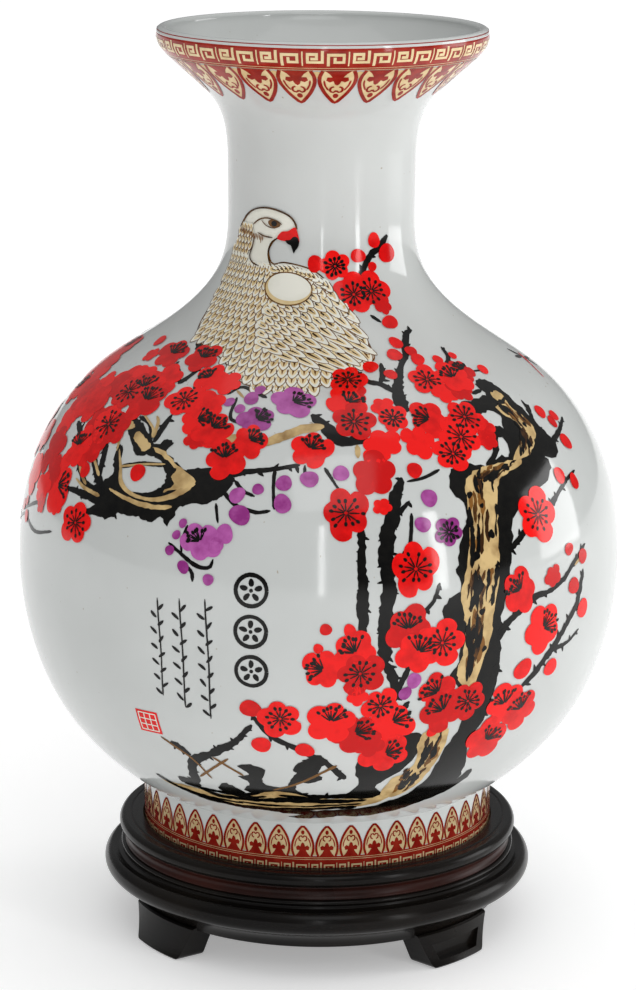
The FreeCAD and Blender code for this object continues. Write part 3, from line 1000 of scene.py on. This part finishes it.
# Short hairs hang along the line between these two places.
FRINGE = ((-56, 180.3), (-37, 177.8))
# Every row lies a little higher than the row before it, and the wing higher than the body.
ROW_STEP = 0.016
WING_LIFT = 0.11


def feather_rows(outline, origin, flow, reach, widths, lengths, headings, bare):
    """Scale feathers inside an outline, in rows across a flow, the row farthest along it first.

    Each is (angle, climb, length, width, heading). Widths and lengths are tables by millimetres
    along the flow from the origin, and headings by millimetres to the left of it. The rows span
    the two distances in reach, and the closed outlines in bare stay without feathers.
    """
    span = 84
    overlap = 0.56
    flat = np.radians(1) * RADIUS.max()
    ring = [closed_line(outline, 0) * (flat, 1)]
    holes = [np.array(hole) * (flat, 1) for hole in bare]
    c, s = math.cos(math.radians(flow)), math.sin(math.radians(flow))
    rows = []
    along = reach[1]
    while along > reach[0]:
        width = np.interp(along, *widths)
        length = np.interp(along, *lengths)
        row = []
        for across in np.arange(-span + width / 2 * (len(rows) % 2), span, width):
            angle, climb = beside(*origin, along * c - across * s, along * s + across * c)
            heading = np.interp(across, *headings) + rng.uniform(-5, 5)
            back = np.radians(heading + 180)
            root = beside(angle, climb, 0.5 * length * np.cos(back), 0.5 * length * np.sin(back))
            ends = [(angle * flat, climb), (root[0] * flat, root[1])]
            inside = all(in_rings(end, ring) for end in ends)
            if inside and not any(in_rings(ends[0], [hole]) for hole in holes):
                row.append((angle, climb, length, width, heading))
        rows.append(row)
        along -= length * overlap
    return rows


def feather_outline(length, width, heading):
    """A rounded leaf from its root at the origin to its tip along a heading in degrees."""
    t = np.linspace(0, 1, 9)
    half = width / 2 * np.sin(math.pi * np.clip(t * 0.82 + 0.16, 0, 1)) ** 0.65
    along = (t - 0.5) * length
    side = np.column_stack([along, half])
    back = np.column_stack([along, -half])[::-1]
    loop = np.vstack([side, back])
    c, s = math.cos(math.radians(heading)), math.sin(math.radians(heading))
    return np.column_stack([loop[:, 0] * c - loop[:, 1] * s, loop[:, 0] * s + loop[:, 1] * c])


def feather(layers, angle, climb, length, width, heading, level, shade):
    """A feather with a pale edge, a buff middle, a brown outline round its tip and a dark root."""
    white, buff, brown = layers
    outline = feather_outline(length, width * 1.12, heading)
    c, s = math.cos(math.radians(heading)), math.sin(math.radians(heading))
    spread(white, angle, climb, outline, 0.6, level)
    middle = beside(angle, climb, -0.06 * length * c, -0.06 * length * s)
    spread(buff, *middle, outline * 0.66, rng.uniform(0.2, 0.9), level + 0.004)
    edge = [beside(angle, climb, x, y) for x, y in outline[3:15]]
    stroke(brown, edge, 0.38, tone=0.5, lift=level + 0.007, taper=0.8, spacing=1)
    root = beside(angle, climb, -0.24 * length * c, -0.24 * length * s)
    tip = beside(angle, climb, 0.2 * length * c, 0.2 * length * s)
    widths = (width * 0.3, width * 0.08)
    stroke(brown, [root, tip], widths, tone=shade, lift=level + 0.009, taper=0.7)


def paint_bird():
    """A sitting bird: pale body, rows of scale feathers, plain shoulder oval, hooked red beak."""
    body = Enamel("bird_body", PALE, 0.14)
    buff = Enamel("bird_feathers", BUFF, 0.17)
    white = Enamel("bird_feather_edges", PALE, 0.17)
    brown = Enamel("bird_lines", BROWN, 0.17)
    red = Enamel("bird_beak", RED, 0.76)
    ink = Enamel("bird_beak_tip", INK, 0.8)
    patch(body, BODY)
    stroke(brown, BODY + BODY[:1], 0.6, taper=1)
    layers = (white, buff, brown)
    rim = [beside(*SHOULDER, x, y) for x, y in oval(*SHOULDER_OVAL)]
    middle = np.mean(WING, axis=0)
    under_wing = (np.array(WING) - middle) * 0.8 + middle
    under_oval = [beside(*SHOULDER, x, y) for x, y in oval(8.0, 5.0, -8, 16)]
    chest = feather_rows(BODY, CROWN, -90, (-4, 76), ([0, 26, 50, 76], [1.9, 3.1, 4.0, 4.8]),
                         ([0, 26, 50, 76], [4.2, 6.2, 7.4, 8.6]),
                         ([-30, 0, 24, 50], [-106, -98, -86, -70]),
                         [under_wing, under_oval, THROAT])
    for order, row in enumerate(chest):
        for place in row:
            feather(layers, *place, ROW_STEP * order, 0.55)
    wing = feather_rows(WING, SHOULDER, -42, (-16, 56), ([-16, 10, 30, 56], [2.6, 3.3, 3.9, 4.2]),
                        ([-16, 10, 30, 56], [5.0, 6.8, 13.0, 19.0]),
                        ([-30, -8, 14, 34], [-24, -36, -52, -66]), [under_oval])
    for order, row in enumerate(wing):
        for place in row:
            feather(layers, *place, WING_LIFT + ROW_STEP * order, 0.1)
    top = WING_LIFT + ROW_STEP * len(chest)
    for order, angle in enumerate(np.arange(4, -29, -2.6)):
        climb = np.interp(angle, [-29, -17, -5, 4], [164, 164.6, 162.2, 157.2])
        heading = np.interp(angle, [-29, 4], [-14, -48])
        feather(layers, angle, climb, 5.2, 2.9, heading, top + 0.008 * (order - 13), 0.2)
    spread(buff, *SHOULDER, oval(*SHOULDER_OVAL), 0.4, top)
    centre = (SHOULDER[0] + 0.4, SHOULDER[1] + 0.9)
    spread(white, *centre, oval(9.5, 6.2, -8, 36), 0.9, top + 0.05, 0.5)
    stroke(brown, rim + rim[:1], 0.55, taper=1, lift=top + 0.06)
    for points, width in HEAD_LINES:
        stroke(brown, points, width, tone=0.4, lift=top)
    for share in np.linspace(0, 1, 17):
        start = np.array(FRINGE[0]) * (1 - share) + np.array(FRINGE[1]) * share
        end = beside(*start, rng.uniform(-0.5, 0.1), -rng.uniform(2.0, 3.4))
        stroke(brown, [start, end], (0.7, 0.4), tone=0.85, lift=top + 0.01)
    spread(brown, *EYE, oval(3.0, 1.7, -8, 20), 0.5, top)
    spread(ink, *EYE, oval(1.3, 1.2, 0, 14), 0.4)
    patch(red, BEAK, tone=0.4)
    patch(ink, BEAK_TIP, tone=0.4)
    finish(body, buff, white, brown, red, ink)


# ------------------------------------------------------------------ borders
def hoop(layer, low, high):
    """A plain band all round the vase between two climbs."""
    rows = max(2, math.ceil((high - low) / BAND_WIDTH) + 1)
    angles = np.arange(SEGMENTS) * 360 / SEGMENTS
    climbs = np.linspace(low, high, rows)
    layer.add(np.tile(angles, rows), np.repeat(climbs, SEGMENTS), net(rows, SEGMENTS, True))


# One lappet, with its base line at 0 and its tip at 1, and half its pitch as the unit across.
LAPPET_EDGE = traced("-0.72,0 -0.87,0.2 -0.86,0.42 -0.66,0.66 -0.36,0.86 0,1")
LAPPET_CROWN = traced("""
-0.62,0 0.62,0 0.4,0.1 0.26,0.2 0.5,0.2 0.56,0.3 0.38,0.36 0.2,0.32 0.12,0.42 0,0.46 -0.12,0.42
-0.2,0.32 -0.38,0.36 -0.56,0.3 -0.5,0.2 -0.26,0.2 -0.4,0.1
""")
LAPPET_RING = traced("-0.14,0.5 -0.3,0.54 -0.32,0.64 -0.14,0.68 0,0.62")
LAPPET_DROP = (0, 0.79)


def lappets(ground, figure, count, first, base, tip):
    """A row of pointed lappets round the vase, each with a crown, a split ring and a drop in it."""
    half = 180 / count
    line = abs(tip - base) * 0.075
    for i in range(count):
        centre = first + i * 360 / count

        def put(points, side=1):
            return [(centre + side * x * half, base + y * (tip - base)) for x, y in points]

        edge = LAPPET_EDGE + [(-x, y) for x, y in LAPPET_EDGE[-2::-1]]
        patch(ground, put(edge), grid=2.0, straight=True)
        stroke(figure, put(edge), line, taper=1, tone=0.45, spacing=1.2)
        patch(figure, put(LAPPET_CROWN), tone=0.45, grid=2.0, straight=True)
        for side in (-1, 1):
            stroke(figure, put(LAPPET_RING, side), line * 0.62, taper=0.9, tone=0.45, spacing=1)
            leaf = [(0.66, 0.3), (0.6, 0.46), (0.42, 0.62)]
            stroke(figure, put(leaf, side), line * 0.5, taper=0.3, tone=0.5, spacing=1)
        angle, climb = put([LAPPET_DROP])[0]
        spread(figure, angle, climb, oval(line * 0.75, line, 0, 10), 0.45)
        angle = centre + half
        spread(ground, angle, base + 0.13 * (tip - base), oval(line * 1.3, line * 1.5, 0, 12), 0.3)


# A pair of key hooks and a divider, in shares of the pitch across and of the band's height.
KEY_LINES = outlines("""
0,0.05 0,0.82 0.33,0.82 0.33,0.28 0.14,0.28 0.14,0.55;
0.44,0 0.44,1;
0.87,1 0.87,0.28 0.555,0.28 0.555,0.86 0.745,0.86 0.745,0.54 0.65,0.54
""")


def key_band(layer, count, first, low, high, width):
    """A fret of square hooks, pair after pair, drawn as pale lines."""
    pitch = 360 / count
    for i in range(count):
        for line in KEY_LINES:
            corners = [(first + (i + x) * pitch, low + y * (high - low)) for x, y in line]
            for a, b in zip(corners, corners[1:]):
                bar(layer, a, b, width if len(line) > 2 else width * 0.45)


def bar(layer, start, end, width):
    """A straight bar with square ends that reach half its width beyond its two points."""
    scale = np.radians(1) * radius_at(start[1])
    half = width / 2
    low = (min(start[0], end[0]) - half / scale, min(start[1], end[1]) - half)
    high = (max(start[0], end[0]) + half / scale, max(start[1], end[1]) + half)
    parts = max(2, math.ceil((high[0] - low[0]) * scale / BAND_WIDTH) + 1)
    rows = max(2, math.ceil((high[1] - low[1]) / BAND_WIDTH) + 1)
    angles = np.tile(np.linspace(low[0], high[0], parts), rows)
    climbs = np.repeat(np.linspace(low[1], high[1], rows), parts)
    layer.add(angles, climbs, net(rows, parts), 0.55)


def paint_rim():
    """The red band at the mouth with its pale fret, and the hanging lappets under it."""
    ground = Enamel("rim_border_cream", CREAM, 0.12)
    band = Enamel("rim_border_red", BRICK, 0.12)
    figure = Enamel("rim_lappet_lines", BRICK, 0.2)
    fret = Enamel("rim_fret", CREAM, 0.2)
    hoop(band, 260.6, 272.6)
    key_band(fret, 23, -13.7, 263.7, 269.7, 1.2)
    hoop(fret, 262.0, 262.25)
    hoop(fret, 260.9, 261.1)
    lappets(ground, figure, 23, 5.8, 260.4, 238.7)
    finish(ground, band, figure, fret)


def paint_foot():
    """The red band at the foot with its finer fret, and the standing lappets over it."""
    ground = Enamel("foot_border_cream", CREAM, 0.12)
    band = Enamel("foot_border_red", BRICK, 0.12)
    figure = Enamel("foot_lappet_lines", BRICK, 0.2)
    fret = Enamel("foot_fret", CREAM, 0.2)
    low, level = climb_at(44.4), climb_at(54.0)
    hoop(band, low, level)
    for height in (52.5, 53.3):
        hoop(fret, climb_at(height) - 0.1, climb_at(height) + 0.1)
    key_band(fret, 41, 2.5, climb_at(46.0), climb_at(50.8), 0.7)
    lappets(ground, figure, 47, 3.2, level, climb_at(67.4))
    finish(ground, band, figure, fret)


# ---------------------------------------------------------------- ornaments
def roundel(layer, angle, climb, size):
    """A plain ornament of brush dabs: a ring, five petals in it and a dot."""
    ring = [beside(angle, climb, size * math.cos(t), size * math.sin(t))
            for t in np.linspace(0, 2 * math.pi, 17)]
    stroke(layer, ring, 1.7, 0.15, taper=1)
    for k in range(5):
        t = math.radians(90 + 72 * k)
        place = beside(angle, climb, 0.5 * size * math.cos(t), 0.5 * size * math.sin(t))
        spread(layer, *place, oval(size * 0.27, size * 0.17, math.degrees(t), 14, 0.05), 0.4)
    spread(layer, angle, climb, oval(size * 0.13, size * 0.13, 0, 10), 0.4)


def leaf_column(layer, angle, top, bottom, size):
    """A hanging spray: a thin stem with dabs of leaf left and right in turn."""
    stroke(layer, [(angle, top), (angle + 0.6, (top + bottom) / 2), (angle, bottom)], 0.7, 0.2)
    side = 1
    for climb in np.arange(top - size, bottom, -size * 0.85):
        place = beside(angle, climb, side * size * 0.42, 0.3)
        turn = 90 - side * rng.uniform(38, 58)
        spread(layer, *place, oval(size * 0.5, size * 0.17, turn, 12, 0.06), 0.4)
        side = -side


def lattice(ground, bars, angle, climb, half):
    """A small square tile crossed by pale bars."""
    corners = ((-1, -1), (1, -1), (1, 1), (-1, 1))
    square = [beside(angle, climb, x * half, y * half) for x, y in corners]
    patch(ground, square, tone=0.5, grid=2.0, straight=True)
    for share in (-0.78, -0.26, 0.26, 0.78):
        for a, b in (((share, -0.78), (share, 0.78)), ((-0.78, share), (0.78, share))):
            start = beside(angle, climb, a[0] * half, a[1] * half)
            end = beside(angle, climb, b[0] * half, b[1] * half)
            stroke(bars, [start, end], 0.5, taper=1, spacing=2)


def insect(body, wings, angle, climb, heading, size):
    """A small long-bodied insect: a thin red body and two pairs of dark wings."""
    c, s = size * math.cos(math.radians(heading)), size * math.sin(math.radians(heading))

    def at(along, across):
        return beside(angle, climb, along * c - across * s, along * s + across * c)

    back = [at(-1.5, 0), at(-0.6, 0.05), at(0.2, 0), at(0.55, 0)]
    stroke(body, back, (0.9, 1.3, 2.2, 1.7), 0.1, lift=0.02)
    for side in (-1, 1):
        for lean in (0.35, -0.35):
            tip = at(0.15 + lean, 1.05 * side)
            stroke(wings, [at(0.15, 0.1 * side), at(0.15 + lean * 0.5, 0.6 * side), tip],
                   (0.5, 2.0, 1.2), 0.2, 0.9)


def paint_ornaments():
    """Roundels, leaf sprays and a tile left of the trunk, and insects on the right and behind."""
    ink = Enamel("ink_ornaments", INK, 0.14)
    red = Enamel("red_tile", RED, 0.14)
    pale = Enamel("tile_bars", PALE, 0.2)
    for climb in (14, -3, -20):
        roundel(ink, -12, climb, 6.4)
    leaf_column(ink, -20.5, 9, -44, 4.2)
    leaf_column(ink, -25.5, 8, -40, 4.2)
    leaf_column(ink, -30, 7, -36, 4.0)
    lattice(red, pale, -35, -51, 5.6)
    insect(red, ink, 86.5, 99.5, 52, 9)
    insect(red, ink, 178, 128, 24, 8)
    finish(ink, red, pale)


# ------------------------------------------------------------ vase and stand
def show(piece, material, slot, body, *nodes):
    """Give a piece its material, and let it stand for CAD nodes on a body."""
    piece.data.materials.clear()
    piece.data.materials.append(material)
    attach(piece, body)
    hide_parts(*nodes)


def make_vase():
    piece = turned("vase_porcelain", VASE_SECTION, closed=False)
    show(piece, PORCELAIN, "porcelain", "vase", "vase")


def make_rings():
    """The stand's rings, with their arrises eased as sanded wood has them."""
    for node, material, slot in (
        ("stand_top_ring", LACQUER, "dark_lacquer"),
        ("stand_waist_ring", RED_LACQUER, "reddish_lacquer"),
        ("stand_base_ring", LACQUER, "dark_lacquer"),
    ):
        loop = rounded(section(node), 0.35 * MM)
        show(turned(node + "_turned", loop, closed=True), material, slot, "stand", node)


def finish_nodes():
    """The pieces that keep their own meshes get their materials."""
    for name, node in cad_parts.items():
        material = LACQUER if name.endswith("_foot") else PANEL_WOOD
        if name == "foot_dowels":
            material = DOWEL_WOOD
        node.data.materials.clear()
        node.data.materials.append(material)


# -------------------------------------------------------------------- scene
CAMERA_PLACE = (0.0, -1.4265, 0.5379)
CAMERA_PITCH = math.radians(90 - 13.59)
CAMERA_ROLL = 0.0073
MIDDLE = (0, 0, 0.2)
# Area lights that face the middle, as (name, place, width, height, power in watts).
LIGHTS = (
    ("window_right", (1.3, -1.32, 0.57), 0.17, 1.1, 6),
    ("window_left", (0.04, -2.1, 0.6), 0.08, 1.15, 2.6),
    ("softbox_right", (2.0, 0.4, 0.5), 0.9, 0.9, 11),
    ("softbox_front", (0.2, -1.7, 2.1), 1.3, 1.3, 9),
    ("overhead", (0, 0.4, 2.8), 2.2, 2.2, 10),
)


def add_camera():
    """The camera stands in front, a little above the shoulder, and looks slightly down."""
    data = bpy.data.cameras.new("camera")
    data.lens = 122.16
    data.sensor_width = 36.0
    data.shift_x = -0.0014
    camera = bpy.data.objects.new("camera", data)
    look = Matrix.Rotation(CAMERA_PITCH, 4, "X")
    roll = Matrix.Rotation(CAMERA_ROLL, 4, "Z")
    camera.matrix_world = Matrix.Translation(CAMERA_PLACE) @ look @ roll
    bpy.context.scene.collection.objects.link(camera)
    bpy.context.scene.camera = camera


def add_lights():
    """Two narrow windows, two softboxes and a large overhead light."""
    for name, place, width, height, power in LIGHTS:
        data = bpy.data.lights.new(name, "AREA")
        data.shape = "RECTANGLE"
        data.size = width
        data.size_y = height
        data.energy = power
        light = bpy.data.objects.new(name, data)
        light.location = place
        facing = Vector(MIDDLE) - Vector(place)
        light.rotation_euler = facing.to_track_quat("-Z", "Y").to_euler()
        bpy.context.scene.collection.objects.link(light)


def add_stage():
    """A plain pale floor, with a little less glow close to the stand."""
    data = bpy.data.meshes.new("floor")
    reach = 6.0
    corners = [(-reach, -reach, 0), (reach, -reach, 0), (reach, reach, 0), (-reach, reach, 0)]
    data.from_pydata(corners, [], [(0, 1, 2, 3)])
    floor = bpy.data.objects.new("floor", data)
    bpy.context.scene.collection.objects.link(floor)
    material, tree, shader = new_material("pale_floor", 0.8, 0.2)
    pale = [(0.3, linear(247, 247, 247)), (0.7, linear(250, 250, 250))]
    colour = ramp(tree, noise(tree, 3, 2), pale)
    tree.links.new(colour, shader.inputs["Base Color"])
    place = tree.nodes.new("ShaderNodeTexCoord")
    distance = tree.nodes.new("ShaderNodeVectorMath")
    distance.operation = "LENGTH"
    tree.links.new(place.outputs["Object"], distance.inputs[0])
    near_and_far = [(0.2, (0.32, 0.32, 0.32, 1)), (1.0, (0.58, 0.58, 0.58, 1))]
    glow = ramp(tree, distance.outputs["Value"], near_and_far)
    tree.links.new(glow, shader.inputs["Emission Color"])
    shader.inputs["Emission Strength"].default_value = 1.0
    data.materials.append(material)


def add_world():
    """Soft light all round, dim at the horizon and bright overhead."""
    world = bpy.data.worlds.new("studio")
    world.use_nodes = True
    tree = world.node_tree
    place = tree.nodes.new("ShaderNodeTexCoord")
    parts = tree.nodes.new("ShaderNodeSeparateXYZ")
    tree.links.new(place.outputs["Generated"], parts.inputs["Vector"])
    colour = ramp(tree, parts.outputs["Z"], [
        (0.0, (0.34, 0.34, 0.345, 1)), (0.3, (0.4, 0.405, 0.41, 1)), (0.9, (1.0, 1.0, 1.0, 1))])
    tree.links.new(colour, tree.nodes["Background"].inputs["Color"])
    tree.nodes["Background"].inputs["Strength"].default_value = 0.66
    bpy.context.scene.world = world
    bpy.context.scene.view_settings.view_transform = "Standard"


def main():
    add_camera()
    add_stage()
    add_world()
    add_lights()
    make_vase()
    make_rings()
    finish_nodes()
    paint_branches()
    paint_blossoms()
    paint_bird()
    paint_rim()
    paint_foot()
    paint_ornaments()


main()
